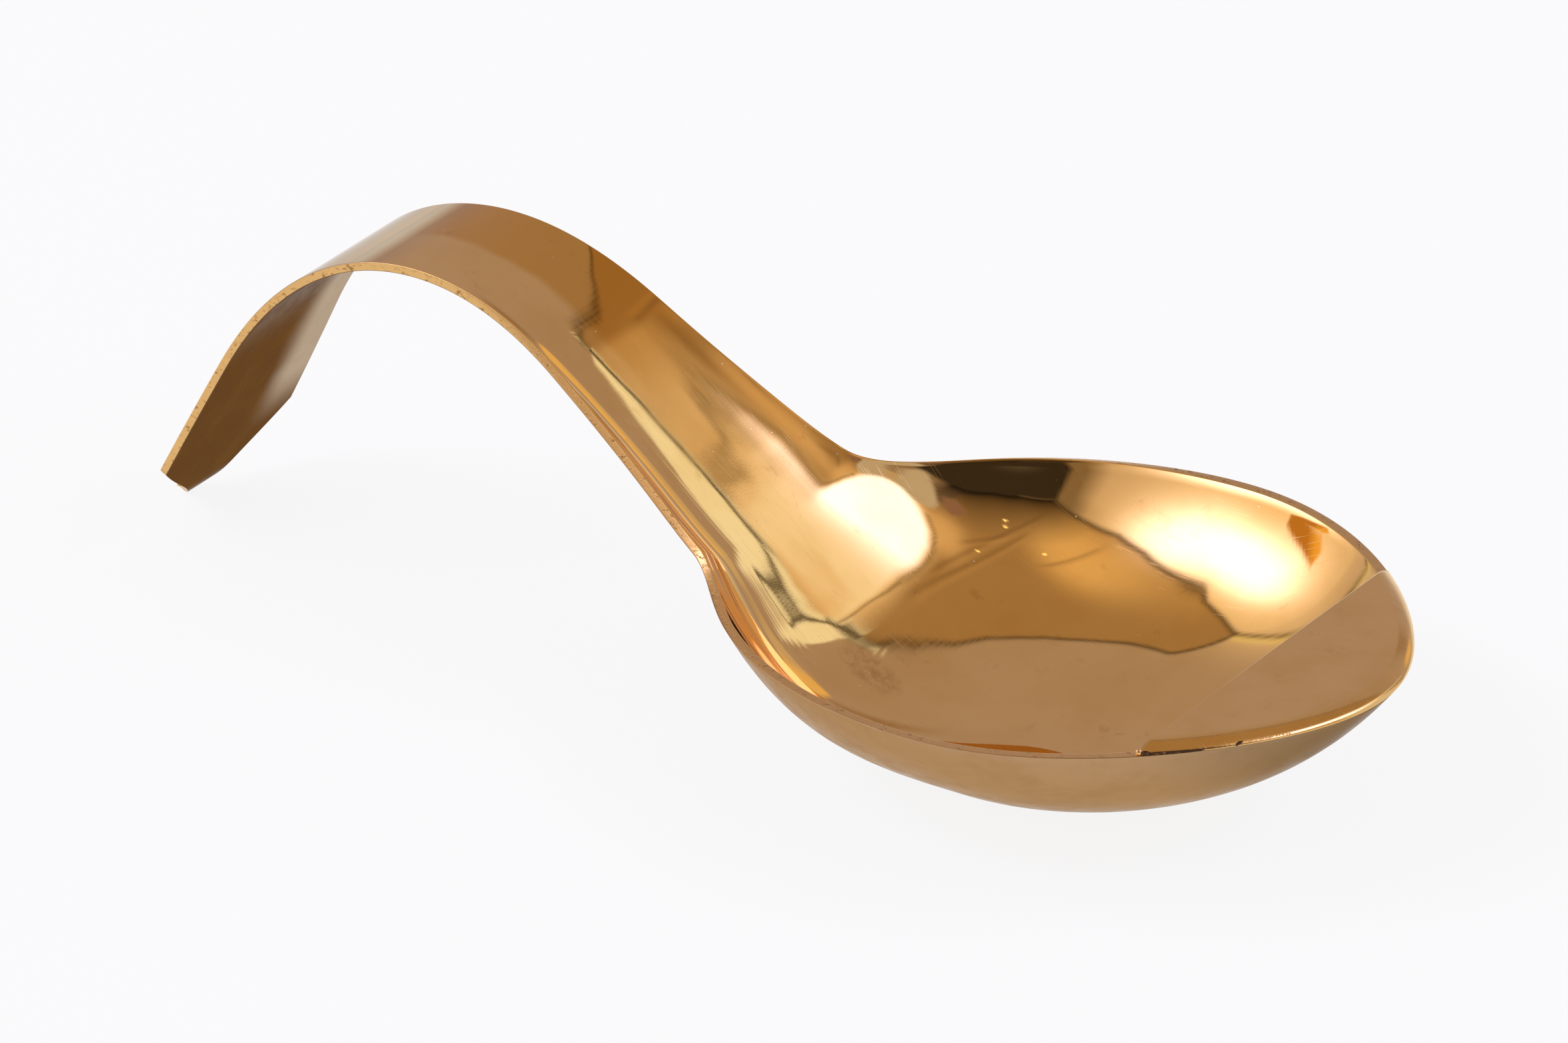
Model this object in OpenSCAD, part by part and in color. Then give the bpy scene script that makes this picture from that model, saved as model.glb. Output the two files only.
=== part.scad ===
// Brass spoon with an arched strip handle that stands on its own foot.
// The bowl and the handle are one bent sheet. A flat plate with a straight
// inner edge is brazed on the rim over the bowl's tip.
// +X points to the bowl's tip, +Z up, and the spoon stands on z = 0.

/* [Bowl] */
// Width of the bowl between its inner edges
bowl_width = 94; // [76:1:116]
// Reach from the bowl's deepest point to the inner edge at the tip
tip_reach = 51.6; // [44:0.1:64]
// Reach from the deepest point to where the bowl's oval would close behind
heel_reach = 55; // [46:0.1:70]
// Height of the rim over the table
rim_height = 25.4; // [19:0.1:31]
// Share by which the bowl's oval narrows towards the tip, like an egg
tip_taper = 0.24; // [0:0.01:0.3]
// Share of a round dish in the bowl's section, the rest being flat-bottomed
dish_share = 0.59; // [0:0.01:1]
// Thickness of the sheet
sheet = 1.4; // [1:0.1:2.2]

/* [Handle] */
// Length of the bend that turns the bowl's floor up into the handle
neck_bend = 47.3; // [38:0.1:60]
// Slope of the handle where it rises
rise_angle = 37; // [30:0.1:44]
// Length of the straight rise
rise_length = 50.2; // [40:0.1:65]
// Length of the bend over the crest
crest_bend = 75.6; // [60:0.1:95]
// Slope of the leg that comes down behind the crest
leg_angle = 62.3; // [54:0.1:72]
// Length of the bend that lays the handle's end flat on the table
foot_bend = 6; // [4:0.1:10]
// Half width that the handle flares to at the neck
neck_half_width = 30; // [24:0.5:33]
// How fast that flare narrows, higher being faster
neck_flare = 2.2; // [1.5:0.1:4]
// Half width at the crest
crest_half_width = 12.5; // [10:0.1:16]
// Half width of the leg
leg_half_width = 16.5; // [13:0.1:20]
// Height of the upturned edges where the handle rises
edge_curl = 4; // [0:0.1:4.5]
// Length over which the handle's end tapers
tongue_length = 14.5; // [12:0.5:20]
// Half width that the taper alone would leave at the end
tongue_half_width = 1.5; // [1:0.1:6]
// Roundness of the taper, 1 being a straight one
tongue_power = 1; // [1:0.05:2]
// Length over which the end is rounded like an oval
tongue_round = 14; // [8:0.5:18]

/* [Blends] */
// Reach of the hollow curve that joins the bowl's outline to the handle's
outline_blend = 14.5; // [6:0.5:16]
// Reach of the curve in which the rim climbs on to the handle
rim_blend = 9.7; // [4:0.1:14]

/* [Tip plate] */
// Distance from the bowl's deepest point to the plate's straight edge
chord_x = 32.6; // [26:0.1:38]
// Thickness of the plate
plate_thick = 1.5; // [1:0.1:2.5]
// Radius of the rounding along the plate's outer edge
plate_round = 1.1; // [0.4:0.1:1.5]

/* [Hidden] */
brass = [0.80, 0.60, 0.30];

// Steps of the lofted sheet: towards the tip, along the handle, in the tongue and across
tip_steps = 18;
handle_steps = 52;
tongue_steps = 9;
half_columns = 9;
// Turn of the sine that gathers the columns towards the sheet's edges, in degrees
column_turn = 70;
// Steps of each sum that gives a bend's rise
sum_steps = 60;
// Share of the neck's bend at which the handle's own width takes over
flare_start = 0.5;
// Share of the tongue over which the leg is already at its full width
leg_full_share = 0.6;
// Share of the tongue's half width that is left at its last edge
tongue_end_share = 0.35;
// Least steepness of the wall for which the rim is ground level
level_limit = 0.3;

half_bowl = bowl_width / 2;
plate_edge_round = min(plate_round, plate_thick - 0.1);

// Smooth step from 0 to 1, and the same one mixed with a straight ramp
function clamp(t) = min(max(t, 0), 1);
function step(t) = let (c = clamp(t)) c * c * (3 - 2 * c);
function bend(t) = (clamp(t) + step(t)) / 2;

// The larger of two values, with a smooth change-over within a reach of k
function blend_max(a, b, k) = max(a, b) + pow(max(k - abs(a - b), 0) / k, 3) * k / 6;

function sum(list) = list * [for (v = list) 1];

// Rise of a bend for each unit of its length, for a slope given at each share of it
function rise_of(slopes) = sum([for (a = slopes) sin(a)]) / len(slopes);
shares = [for (i = [0:sum_steps - 1]) (i + 0.5) / sum_steps];
neck_rise = neck_bend * rise_of([for (t = shares) rise_angle * step(t)]);
crest_rise = crest_bend * rise_of([for (t = shares) rise_angle - (rise_angle + leg_angle) * bend(t)]);
foot_fall = foot_bend * rise_of([for (t = shares) leg_angle * (1 - bend(t))]);

// The leg is as long as it takes for the foot to lie on the table
leg_length = (neck_rise + rise_length * sin(rise_angle) + crest_rise - foot_fall) / sin(leg_angle);
crest_start = neck_bend + rise_length;
crest_at = crest_start + crest_bend / 2;
spine_length = crest_start + crest_bend + leg_length + foot_bend;

// Slope of the spine at the distance s behind the bowl's deepest point
function slope(s) = rise_angle * step(s / neck_bend)
    - (rise_angle + leg_angle) * bend((s - crest_start) / crest_bend)
    + leg_angle * bend((s - spine_length + foot_bend) / foot_bend);

// Distances along the spine: even steps, and closer ones round the tongue's end
tongue_start = spine_length - tongue_length;
stations = concat(
    [for (i = [0:handle_steps - 1]) tongue_start * i / handle_steps],
    [for (i = [0:tongue_steps]) tongue_start + tongue_length * sin(90 * i / tongue_steps)]);

// The spine's points as [x, z], each from the one before it
function spine() = [for (
    i = 0, x = 0, z = sheet;
    i < len(stations);
    a = i + 1 < len(stations) ? (slope(stations[i]) + slope(stations[i + 1])) / 2 : 0,
    d = i + 1 < len(stations) ? stations[i + 1] - stations[i] : 0,
    i = i + 1, x = x - d * cos(a), z = z + d * sin(a)) [x, z]];

// Half width of the handle alone, and of the bowl and handle together
function handle_half_width(s) =
    let (t = clamp((s - flare_start * neck_bend) / (crest_at - flare_start * neck_bend)),
         full = spine_length - leg_full_share * tongue_length)
    crest_half_width + (neck_half_width - crest_half_width) * pow(1 - t, neck_flare)
        + (leg_half_width - crest_half_width) * step((s - crest_at) / (full - crest_at));
function tongue_share(s) =
    let (u = clamp((spine_length - s) / tongue_length),
         d = clamp((spine_length - s) / tongue_round),
         e = tongue_half_width / leg_half_width)
    s >= spine_length ? tongue_end_share * e
        : (e + (1 - e) * (1 - pow(1 - u, tongue_power))) * sqrt(1 - pow(1 - d, 2));
function half_width(s, x) =
    blend_max(half_bowl * sqrt(1 - pow(clamp(-x / heel_reach), 2)), handle_half_width(s), outline_blend)
        * tongue_share(s);

// Height of the sheet's edges over the table
function edge_height(s, z) =
    let (curled = z + edge_curl * (1 - step((s - neck_bend) / (crest_at - neck_bend))))
    s > crest_start ? curled : blend_max(rim_height, curled, rim_blend);

// One row for each station: [x, height at the middle, height at the edge, half width, dish share, level rim]
front_rows = [for (i = [0:tip_steps - 1])
    let (c = cos(90 * i / tip_steps), q = c * c)
    [tip_reach * c,
     sheet + (rim_height - sheet) * (dish_share * q + (1 - dish_share) * q * q),
     rim_height,
     half_bowl * sqrt(1 - q) * (1 - tip_taper * q),
     (dish_share + 2 * (1 - dish_share) * q) / (1 + (1 - dish_share) * q),
     1]];
back_rows = let (p = spine()) [for (i = [0:len(p) - 1])
    let (s = stations[i])
    [p[i][0], p[i][1], edge_height(s, p[i][1]), half_width(s, p[i][0]),
     dish_share * (1 - step(s / neck_bend)), 1 - step(s / neck_bend)]];
rows = concat(front_rows, back_rows);

columns = [for (j = [-half_columns:half_columns]) sin(column_turn * j / half_columns) / sin(column_turn)];

// The sheet's upper face, a grid of points row by row. Its first row is all one point, the tip.
function upper_point(r, v) =
    [r[0], r[3] * v, r[1] + (r[2] - r[1]) * (r[4] * v * v + (1 - r[4]) * pow(v, 4))];
upper = [for (r = rows) [for (v = columns) upper_point(r, v)]];

last_row = len(rows) - 1;
last_column = len(columns) - 1;

// Direction square to the upper face, pointing up out of the bowl
tip_slope = (rim_height - sheet) * (4 - 2 * dish_share) / tip_reach;
tip_square = [-tip_slope, 0, 1] / norm([tip_slope, 1]);
function square_to(i, j) =
    let (along = upper[min(i + 1, last_row)][j] - upper[max(i - 1, 0)][j],
         across = upper[i][min(j + 1, last_column)] - upper[i][max(j - 1, 0)],
         n = cross(across, along))
    i == 0 ? tip_square : n / norm(n);

// The lower face lies one sheet below. Its edges are level with the rim round the bowl.
function lower_point(i, j) =
    let (p = upper[i][j], n = square_to(i, j), flat = [n[0], n[1], 0],
         below = p - n * sheet,
         level = p - flat * sheet / max(flat * flat, level_limit),
         share = (j == 0 || j == last_column || i == 0) ? rows[i][5] : 0)
    below * (1 - share) + level * share;
lower = [for (i = [0:last_row]) [for (j = [0:last_column]) lower_point(i, j)]];

// Faces of a grid whose first row is one point
function grid_faces(first, flip) = [
    for (i = [0:last_row - 1], j = [0:last_column - 1])
        let (wide = last_column + 1,
             a = i == 0 ? first : first + 1 + (i - 1) * wide + j,
             b = i == 0 ? first : a + 1,
             d = first + 1 + i * wide + j,
             c = d + 1,
             faces = i == 0 ? [[d, c, a]] : [[c, b, a], [d, c, a]])
        for (f = faces) flip ? [f[2], f[1], f[0]] : f];

module spoon() {
    wide = last_column + 1;
    low = 1 + last_row * wide;
    points = concat(
        [upper[0][0]], [for (i = [1:last_row]) each upper[i]],
        [lower[0][0]], [for (i = [1:last_row]) each lower[i]]);
    function at(i, j) = i == 0 ? 0 : 1 + (i - 1) * wide + j;
    rim = [for (i = [0:last_row - 1]) each [
        [low + at(i + 1, 0), at(i + 1, 0), at(i, 0)], [low + at(i, 0), low + at(i + 1, 0), at(i, 0)],
        [low + at(i + 1, last_column), low + at(i, last_column), at(i, last_column)],
        [at(i + 1, last_column), low + at(i + 1, last_column), at(i, last_column)]]];
    end = [for (j = [0:last_column - 1]) each [
        [low + at(last_row, j + 1), at(last_row, j + 1), at(last_row, j)],
        [low + at(last_row, j), low + at(last_row, j + 1), at(last_row, j)]]];
    color(brass) translate([-middle_x, 0, 0]) polyhedron(points, concat(grid_faces(0, false), grid_faces(low, true), rim, end));
}

// Outline of the plate, drawn in from the rim's outer edge
wall_slope_side = (rim_height - sheet) * (4 - 2 * dish_share) / half_bowl;
rim_face_tip = sheet * sqrt(1 + tip_slope * tip_slope) / tip_slope;
rim_face_side = sheet * sqrt(1 + wall_slope_side * wall_slope_side) / wall_slope_side;
plate_steps = 24;
round_steps = 5;
function plate_ring(inset, z) =
    let (reach = tip_reach + rim_face_tip - inset, half = half_bowl + rim_face_side - inset,
         turn = acos(chord_x / reach))
    [for (i = [-plate_steps:plate_steps])
        let (c = cos(turn * i / plate_steps))
        [reach * c, half * sin(turn * i / plate_steps) * (1 - tip_taper * c * c), z]];

// The frame's origin is under the middle of the spoon's length
foot_x = back_rows[len(back_rows) - 1][0];
middle_x = (tip_reach + rim_face_tip + foot_x) / 2;

module tip_plate() {
    rings = concat(
        [plate_ring(0, rim_height)],
        [for (k = [0:round_steps])
            let (a = 90 * k / round_steps)
            plate_ring(plate_edge_round * (1 - cos(a)),
                       rim_height + plate_thick - plate_edge_round * (1 - sin(a)))]);
    count = 2 * plate_steps + 1;
    top = (len(rings) - 1) * count;
    sides = [for (k = [0:len(rings) - 2], i = [0:count - 1])
        let (n = (i + 1) % count)
        [k * count + i, (k + 1) * count + i, (k + 1) * count + n, k * count + n]];
    bottom_face = [for (i = [0:count - 1]) i];
    top_face = [for (i = [count - 1:-1:0]) top + i];
    color(brass) translate([-middle_x, 0, 0])
        polyhedron([for (r = rings) each r], concat([bottom_face, top_face], sides));
}

spoon();
tip_plate();
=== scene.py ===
"""Brass spoon with an arched strip handle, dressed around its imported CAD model.

The sheet and the tip plate repeat the formulas of the part's source at a finer
step, because polished metal shows every facet. All sizes are in millimetres and
degrees until a mesh is made.
"""

import math

import bmesh
import bpy
import numpy as np
from mathutils import Matrix, Vector


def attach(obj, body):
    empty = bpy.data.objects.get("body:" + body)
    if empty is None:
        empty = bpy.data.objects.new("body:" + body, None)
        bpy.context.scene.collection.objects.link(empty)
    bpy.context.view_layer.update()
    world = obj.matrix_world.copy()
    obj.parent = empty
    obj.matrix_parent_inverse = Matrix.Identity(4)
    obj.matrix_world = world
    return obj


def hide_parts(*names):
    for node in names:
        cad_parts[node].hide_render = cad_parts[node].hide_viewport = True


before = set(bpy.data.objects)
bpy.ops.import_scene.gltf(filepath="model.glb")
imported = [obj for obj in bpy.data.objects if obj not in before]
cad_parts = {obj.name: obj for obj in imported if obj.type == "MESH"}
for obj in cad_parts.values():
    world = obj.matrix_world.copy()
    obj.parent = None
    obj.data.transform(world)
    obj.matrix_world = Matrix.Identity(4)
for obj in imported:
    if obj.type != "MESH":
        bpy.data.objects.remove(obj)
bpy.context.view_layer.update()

MM = 0.001

# Bowl
BOWL_WIDTH = 94.0
TIP_REACH = 51.6
HEEL_REACH = 55.0
RIM_HEIGHT = 25.4
TIP_TAPER = 0.24
DISH_SHARE = 0.59
SHEET = 1.4

# Handle
NECK_BEND = 47.3
RISE_ANGLE = 37.0
RISE_LENGTH = 50.2
CREST_BEND = 75.6
LEG_ANGLE = 62.3
FOOT_BEND = 6.0
NECK_HALF_WIDTH = 30.0
NECK_FLARE = 2.2
CREST_HALF_WIDTH = 12.5
LEG_HALF_WIDTH = 16.5
EDGE_CURL = 4.0
TONGUE_LENGTH = 14.5
TONGUE_HALF_WIDTH = 1.5
TONGUE_POWER = 1.0
TONGUE_ROUND = 14.0
OUTLINE_BLEND = 14.5
RIM_BLEND = 9.7
FLARE_START = 0.5
LEG_FULL_SHARE = 0.6
TONGUE_END_SHARE = 0.35
LEVEL_LIMIT = 0.3

# Tip plate
CHORD_X = 32.6
PLATE_THICK = 1.5
PLATE_ARRIS = 0.35
SHOULDER_REACH = 2.7
SHOULDER_DROP = 1.45
SHOULDER_SLOPE_SHARE = 0.45
NEAR_SETBACK = 0.4
SETBACK_LENGTH = 15.0

# Fineness of the meshes
TIP_STEPS = 84
HANDLE_STEPS = 270
TONGUE_STEPS = 34
HALF_COLUMNS = 38
COLUMN_TURN = 50.0
ARRIS_STEPS = 3
WALL_STEPS = 3
ARRIS_RADIUS = 0.16
ARRIS_ROOM_SHARE = 0.45
SUM_STEPS = 400
PLATE_STEPS = 110
PLATE_ROUND_STEPS = 12
RIM_STEPS = 800
FACE_MARGIN = 0.06
PLATE_RING_GAP = 0.2
CAP_GAP = 0.1
WELD_REACH = 0.0005

HALF_BOWL = BOWL_WIDTH / 2
UP = np.array([0.0, 0.0, 1.0])


def clamp(t):
    return np.clip(t, 0.0, 1.0)


def step(t):
    c = clamp(t)
    return c * c * (3 - 2 * c)


def bend(t):
    return (clamp(t) + step(t)) / 2


def blend_max(a, b, reach):
    """The larger of two values, with a smooth change-over within a reach."""
    return np.maximum(a, b) + np.maximum(reach - np.abs(a - b), 0) ** 3 / (6 * reach**2)


def sine_mean(slopes):
    return np.sin(np.radians(slopes)).mean()


SHARES = (np.arange(SUM_STEPS) + 0.5) / SUM_STEPS
NECK_RISE = NECK_BEND * sine_mean(RISE_ANGLE * step(SHARES))
CREST_RISE = CREST_BEND * sine_mean(RISE_ANGLE - (RISE_ANGLE + LEG_ANGLE) * bend(SHARES))
FOOT_FALL = FOOT_BEND * sine_mean(LEG_ANGLE * (1 - bend(SHARES)))
RISE = NECK_RISE + RISE_LENGTH * math.sin(math.radians(RISE_ANGLE)) + CREST_RISE
LEG_LENGTH = (RISE - FOOT_FALL) / math.sin(math.radians(LEG_ANGLE))
CREST_START = NECK_BEND + RISE_LENGTH
CREST_AT = CREST_START + CREST_BEND / 2
SPINE_LENGTH = CREST_START + CREST_BEND + LEG_LENGTH + FOOT_BEND


def slope(s):
    """Slope of the spine at the distance s behind the bowl's deepest point."""
    return (
        RISE_ANGLE * step(s / NECK_BEND)
        - (RISE_ANGLE + LEG_ANGLE) * bend((s - CREST_START) / CREST_BEND)
        + LEG_ANGLE * bend((s - SPINE_LENGTH + FOOT_BEND) / FOOT_BEND)
    )


def spine(s):
    """Points x and z of the sheet's middle line at the distances s."""
    mean = np.radians((slope(s[1:]) + slope(s[:-1])) / 2)
    x = -np.cumsum(np.diff(s) * np.cos(mean))
    z = np.cumsum(np.diff(s) * np.sin(mean))
    return np.append(0.0, x), SHEET + np.append(0.0, z)


def handle_half_width(s):
    start = FLARE_START * NECK_BEND
    full = SPINE_LENGTH - LEG_FULL_SHARE * TONGUE_LENGTH
    narrowing = (1 - clamp((s - start) / (CREST_AT - start))) ** NECK_FLARE
    widening = step((s - CREST_AT) / (full - CREST_AT))
    return (
        CREST_HALF_WIDTH
        + (NECK_HALF_WIDTH - CREST_HALF_WIDTH) * narrowing
        + (LEG_HALF_WIDTH - CREST_HALF_WIDTH) * widening
    )


def tongue_share(s):
    u = clamp((SPINE_LENGTH - s) / TONGUE_LENGTH)
    d = clamp((SPINE_LENGTH - s) / TONGUE_ROUND)
    least = TONGUE_HALF_WIDTH / LEG_HALF_WIDTH
    share = (least + (1 - least) * (1 - (1 - u) ** TONGUE_POWER)) * np.sqrt(1 - (1 - d) ** 2)
    return np.maximum(share, TONGUE_END_SHARE * least)


def half_width(s, x):
    oval = HALF_BOWL * np.sqrt(1 - clamp(-x / HEEL_REACH) ** 2)
    return blend_max(oval, handle_half_width(s), OUTLINE_BLEND) * tongue_share(s)


def edge_height(s, z):
    curled = z + EDGE_CURL * (1 - step((s - NECK_BEND) / (CREST_AT - NECK_BEND)))
    return np.where(s > CREST_START, curled, blend_max(RIM_HEIGHT, curled, RIM_BLEND))


def sheet_rows():
    """Columns: distance, x, middle height, edge height, half width, dish, level rim."""
    c = np.cos(np.radians(90 * np.arange(TIP_STEPS) / TIP_STEPS))
    q = c * c
    rise = RIM_HEIGHT - SHEET
    rest = 1 - DISH_SHARE
    front = np.column_stack([
        -TIP_REACH * c,
        TIP_REACH * c,
        SHEET + rise * (DISH_SHARE * q + rest * q * q),
        np.full_like(c, RIM_HEIGHT),
        HALF_BOWL * np.sqrt(1 - q) * (1 - TIP_TAPER * q),
        (DISH_SHARE + 2 * rest * q) / (1 + rest * q),
        np.ones_like(c),
    ])
    tongue_start = SPINE_LENGTH - TONGUE_LENGTH
    turn = np.radians(90 * np.arange(TONGUE_STEPS + 1) / TONGUE_STEPS)
    s = np.concatenate([
        tongue_start * np.arange(HANDLE_STEPS) / HANDLE_STEPS,
        tongue_start + TONGUE_LENGTH * np.sin(turn),
    ])
    x, z = spine(s)
    level = 1 - step(s / NECK_BEND)
    back = np.column_stack([
        s, x, z, edge_height(s, z), half_width(s, x), DISH_SHARE * level, level,
    ])
    return np.vstack([front, back])


TIP_SLOPE = (RIM_HEIGHT - SHEET) * (4 - 2 * DISH_SHARE) / TIP_REACH
SIDE_SLOPE = (RIM_HEIGHT - SHEET) * (4 - 2 * DISH_SHARE) / HALF_BOWL
RIM_FACE_TIP = SHEET * math.hypot(1, TIP_SLOPE) / TIP_SLOPE
RIM_FACE_SIDE = SHEET * math.hypot(1, SIDE_SLOPE) / SIDE_SLOPE


def unit(v):
    return v / np.maximum(np.linalg.norm(v, axis=-1, keepdims=True), 1e-12)


def sheet_faces(rows):
    """The sheet's upper and lower face, each a grid of points row by row."""
    j = np.arange(-HALF_COLUMNS, HALF_COLUMNS + 1) / HALF_COLUMNS
    v = np.sin(np.radians(COLUMN_TURN * j)) / math.sin(math.radians(COLUMN_TURN))
    _, x, middle, edge, half, dish, level = (rows[:, k, None] for k in range(7))
    height = middle + (edge - middle) * (dish * v**2 + (1 - dish) * v**4)
    upper = np.stack([x + 0 * v, half * v, height], axis=-1)
    along = np.empty_like(upper)
    along[1:-1] = upper[2:] - upper[:-2]
    along[0] = upper[1] - upper[0]
    along[-1] = upper[-1] - upper[-2]
    across = np.empty_like(upper)
    across[:, 1:-1] = upper[:, 2:] - upper[:, :-2]
    across[:, 0] = upper[:, 1] - upper[:, 0]
    across[:, -1] = upper[:, -1] - upper[:, -2]
    square = unit(np.cross(across, along))
    square[0] = unit(np.array([-TIP_SLOPE, 0, 1]))
    lower = upper - square * SHEET
    flat = square * [1, 1, 0]
    steepness = np.maximum((flat**2).sum(axis=-1, keepdims=True), LEVEL_LIMIT)
    ground = upper - flat * SHEET / steepness
    share = np.zeros(upper.shape[:2] + (1,))
    share[:, [0, -1]] = level[:, :, None]
    share[0] = 1
    return upper, lower * (1 - share) + ground * share


def arris(corner, inward, onward, room):
    """Small rounding of a corner, from the face it leaves to the one it enters."""
    radius = np.minimum(ARRIS_RADIUS, room)
    turn = np.radians(90 * np.arange(ARRIS_STEPS + 1) / ARRIS_STEPS)
    return [corner + inward * radius * (1 - math.sin(t)) + onward * radius * (1 - math.cos(t))
            for t in turn]


def wall(upper_edge, upper_next, lower_edge, lower_next):
    """Points from the upper face round the cut edge to the lower face, for each row."""
    span = np.linalg.norm(lower_edge - upper_edge, axis=-1, keepdims=True)
    up_room = ARRIS_ROOM_SHARE * np.linalg.norm(upper_next - upper_edge, axis=-1, keepdims=True)
    low_room = ARRIS_ROOM_SHARE * np.linalg.norm(lower_next - lower_edge, axis=-1, keepdims=True)
    down = (lower_edge - upper_edge) / span
    first = arris(upper_edge, unit(upper_next - upper_edge), down, up_room)
    last = arris(lower_edge, unit(lower_next - lower_edge), -down, low_room)[::-1]
    between = [first[-1] + (last[0] - first[-1]) * k / WALL_STEPS for k in range(1, WALL_STEPS)]
    return first + between + last


def bowl_middle_x(rows):
    """The frame's origin is under the middle of the spoon's length."""
    return (TIP_REACH + RIM_FACE_TIP + rows[-1, 1]) / 2


UPPER, LOWER, CUT = 0, 1, 2


def sheet_rings(rows):
    """Closed rings of points round the sheet's section, and the material of each strip."""
    upper, lower = sheet_faces(rows)
    right = wall(upper[:, -1], upper[:, -2], lower[:, -1], lower[:, -2])
    left = wall(lower[:, 0], lower[:, 1], upper[:, 0], upper[:, 1])
    inner = slice(1, -1)
    parts = [
        (upper[:, inner].transpose(1, 0, 2), UPPER),
        (np.array(right), CUT),
        (lower[:, inner][:, ::-1].transpose(1, 0, 2), LOWER),
        (np.array(left), CUT),
    ]
    points = np.concatenate([p for p, _ in parts]).transpose(1, 0, 2)
    strips = []
    for part, kind in parts:
        strips += [kind] * len(part)
    # The small roundings belong to the polished faces
    edge = len(right)
    first_cut = upper.shape[1] - 2
    second_cut = first_cut + edge + lower.shape[1] - 2
    for start, before, after in ((first_cut, UPPER, LOWER), (second_cut, LOWER, UPPER)):
        for k in range(ARRIS_STEPS):
            strips[start + k] = before
            strips[start + edge - 2 - k] = after
        strips[start + edge - 1] = after
    strips[first_cut - 1] = UPPER
    strips[second_cut - 1] = LOWER
    return points, strips


def ring_mesh(rings, strips, distances):
    """A closed skin over rings of points, with distances along and around as its UV map."""
    count, around = rings.shape[:2]
    gaps = np.linalg.norm(np.roll(rings, -1, axis=1) - rings, axis=-1)
    reach = np.concatenate([np.zeros((count, 1)), np.cumsum(gaps, axis=1)], axis=1)
    faces, kinds, uvs = [], [], []
    for i in range(count - 1):
        for k in range(around):
            n = (k + 1) % around
            a, b = i * around + k, i * around + n
            faces.append((a, a + around, b + around, b))
            kinds.append(strips[k])
            uvs.append([(distances[i], reach[i, k]), (distances[i + 1], reach[i + 1, k]),
                        (distances[i + 1], reach[i + 1, k + 1]), (distances[i], reach[i, k + 1])])
    return rings.reshape(-1, 3), faces, kinds, uvs


def make_object(name, points, faces, kinds, uvs, materials, shift):
    """A mesh object in metres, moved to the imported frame, with its UV map and materials."""
    mesh = bpy.data.meshes.new(name)
    mesh.from_pydata(((points - [shift, 0, 0]) * MM).tolist(), [], faces)
    mesh.polygons.foreach_set("material_index", kinds)
    layer = mesh.uv_layers.new(name="UVMap")
    layer.data.foreach_set("uv", (np.concatenate([np.array(u) for u in uvs]) * MM).ravel())
    for material in materials:
        mesh.materials.append(material)
    return weld(name, mesh)


def weld(name, mesh):
    """An object of the mesh, smooth all over, welded and without flat slivers."""
    work = bmesh.new()
    work.from_mesh(mesh)
    bmesh.ops.remove_doubles(work, verts=work.verts, dist=WELD_REACH * MM)
    bmesh.ops.dissolve_degenerate(work, edges=work.edges, dist=WELD_REACH * MM)
    bmesh.ops.recalc_face_normals(work, faces=work.faces)
    for face in work.faces:
        face.smooth = True
    work.to_mesh(mesh)
    work.free()
    piece = bpy.data.objects.new(name, mesh)
    bpy.context.scene.collection.objects.link(piece)
    return piece


def make_spoon(materials):
    rows = sheet_rows()
    rings, strips = sheet_rings(rows)
    points, faces, kinds, uvs = ring_mesh(rings, strips, rows[:, 0])
    # The tongue's end is closed between its upper and lower points
    count, around = rings.shape[:2]
    last = (count - 1) * around
    across = 2 * HALF_COLUMNS - 1
    edge = (around - 2 * across) // 2
    top = [last + j for j in range(across)]
    low = [last + 2 * across + edge - 1 - j for j in range(across)]
    right = [last + across + k for k in range(edge)]
    left = [last + 2 * across + edge + k for k in range(edge)]
    caps = [(top[j + 1], top[j], low[j], low[j + 1]) for j in range(across - 1)]
    caps.append((top[-1], low[-1], *reversed(right)))
    caps.append((low[0], top[0], *reversed(left)))
    for cap in caps:
        faces.append(cap)
        kinds.append(CUT)
        uvs.append([(SPINE_LENGTH, CAP_GAP * n) for n in range(len(cap))])
    return make_object("spoon_sheet", points, faces, kinds, uvs, materials, bowl_middle_x(rows))


def rim_place(share, inset=0.0, back=0.0):
    """Points on the rim's outer edge along the plate, from its near end -1 to its far end 1."""
    reach = TIP_REACH + RIM_FACE_TIP - inset
    half = HALF_BOWL + RIM_FACE_SIDE - inset
    turn = np.arccos((CHORD_X + back) / reach) * share
    c = np.cos(turn)
    return np.stack([reach * c, half * np.sin(turn) * (1 - TIP_TAPER * c * c)], axis=-1)


RIM_SHARES = np.linspace(-1, 1, RIM_STEPS + 1)
RIM_PLACES = rim_place(RIM_SHARES)
RIM_RUN = np.append(0, np.cumsum(np.linalg.norm(np.diff(RIM_PLACES, axis=0), axis=1)))


def rim_distance(share):
    """Way along the rim from the plate's near corner."""
    return np.interp(share, RIM_SHARES, RIM_RUN)


def rim_share(distance):
    return np.interp(distance, RIM_RUN, RIM_SHARES)


def plate_ring(inset, back, z):
    """Outline of the plate at a height, drawn in along the rim and behind the straight edge."""
    share = np.arange(-PLATE_STEPS, PLATE_STEPS + 1) / PLATE_STEPS
    setback = NEAR_SETBACK * (1 - step(rim_distance(share) / SETBACK_LENGTH))
    return np.column_stack([rim_place(share, inset + setback, back), np.full(len(share), z)])


def arris_inset(depth):
    """How far a small rounding draws an edge in at a depth under the face."""
    short = max(1 - depth / PLATE_ARRIS, 0)
    return PLATE_ARRIS * (1 - math.sqrt(1 - short * short))


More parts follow.
